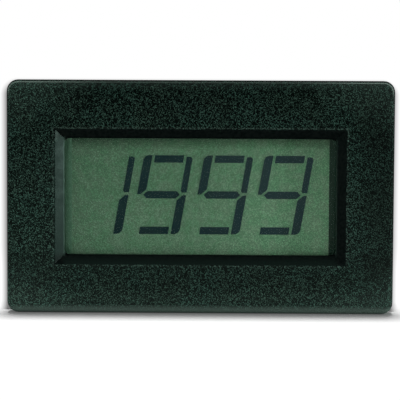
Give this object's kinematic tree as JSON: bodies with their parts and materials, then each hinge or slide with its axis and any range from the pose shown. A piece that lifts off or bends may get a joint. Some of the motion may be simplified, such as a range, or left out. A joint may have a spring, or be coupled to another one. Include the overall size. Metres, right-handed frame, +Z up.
{
  "type": "digital panel meter",
  "caption": "Flush-mounting meter with a rectangular bezel, recessed liquid crystal display, open-backed collar, sliding panel clamps and a row of terminal pins.",
  "frame": {"origin": "middle of the panel cut-out, in the plane where the bezel's flange seats on the panel", "axes": "+X to the meter's right as its reader sees it, +Y to the rear through the panel, +Z up"},
  "size_m": [0.068, 0.019, 0.041],
  "materials": {
    "bezel": "moulded plastic with a fine spark-eroded texture, very dark green-black",
    "clamp": "moulded plastic, satin black",
    "screw": "zinc-plated steel",
    "polarizer": "clear grey-green polarizing film, smooth",
    "display_glass": "clear thin glass",
    "seal": "dark green-grey cured glue seal",
    "segments": "darkened liquid crystal, blue-black",
    "reflector": "green-grey reflective film, satin",
    "elastomer": "layered conductive silicone rubber",
    "carrier": "ivory moulded plastic",
    "board": "green solder-resist on glass-fibre laminate",
    "chip": "black moulded epoxy",
    "tinned_leads": "tinned copper, dull",
    "trimmer": "blue moulded plastic",
    "trimmer_rotor": "ivory moulded plastic",
    "film_capacitor": "red epoxy, glossy",
    "ceramic_disc": "ochre lacquer over ceramic",
    "resistor": "beige lacquer with plain colour bands",
    "terminal_block": "black glass-filled plastic",
    "terminal_pins": "plated square wire"
  },
  "bodies": {
    "meter": {"front_bezel": "bezel", "board_screws": "screw", "lcd_front_polarizer": "polarizer", "lcd_front_glass": "display_glass", "lcd_perimeter_seal": "seal", "lcd_digit_segments": "segments", "lcd_rear_glass": "display_glass", "lcd_rear_reflector": "reflector", "upper_contact_strip": "elastomer", "lower_contact_strip": "elastomer", "strip_carrier": "carrier", "circuit_board": "board", "converter_chip": "chip", "converter_chip_leads": "tinned_leads", "trimmer_body": "trimmer", "trimmer_leads": "tinned_leads", "integrator_capacitor": "film_capacitor", "auto_zero_capacitor": "film_capacitor", "reference_capacitor": "film_capacitor", "input_filter_capacitor": "film_capacitor", "oscillator_capacitor": "ceramic_disc", "capacitor_leads": "tinned_leads", "reference_resistor": "resistor", "integrator_resistor": "resistor", "oscillator_resistor": "resistor", "input_resistor": "resistor", "resistor_leads": "tinned_leads", "terminal_block": "terminal_block", "terminal_pins": "terminal_pins"},
    "left_clamp": {"left_panel_clamp": "clamp"},
    "right_clamp": {"right_panel_clamp": "clamp"},
    "wiper": {"trimmer_rotor": "trimmer_rotor"}
  },
  "joints": [
    {"name": "left_clamp_slide", "type": "slide", "parent": "meter", "child": "left_clamp", "axis": [0, 1, 0], "range_m": [-0.002, 0.004]},
    {"name": "right_clamp_slide", "type": "slide", "parent": "meter", "child": "right_clamp", "axis": [0, 1, 0], "range_m": [-0.002, 0.004]},
    {"name": "trimmer_turn", "type": "hinge", "parent": "meter", "child": "wiper", "pos_m": [0.0175, 0.0101, 0.00969], "axis": [0, 1, 0], "range_deg": [-130, 130]}
  ]
}
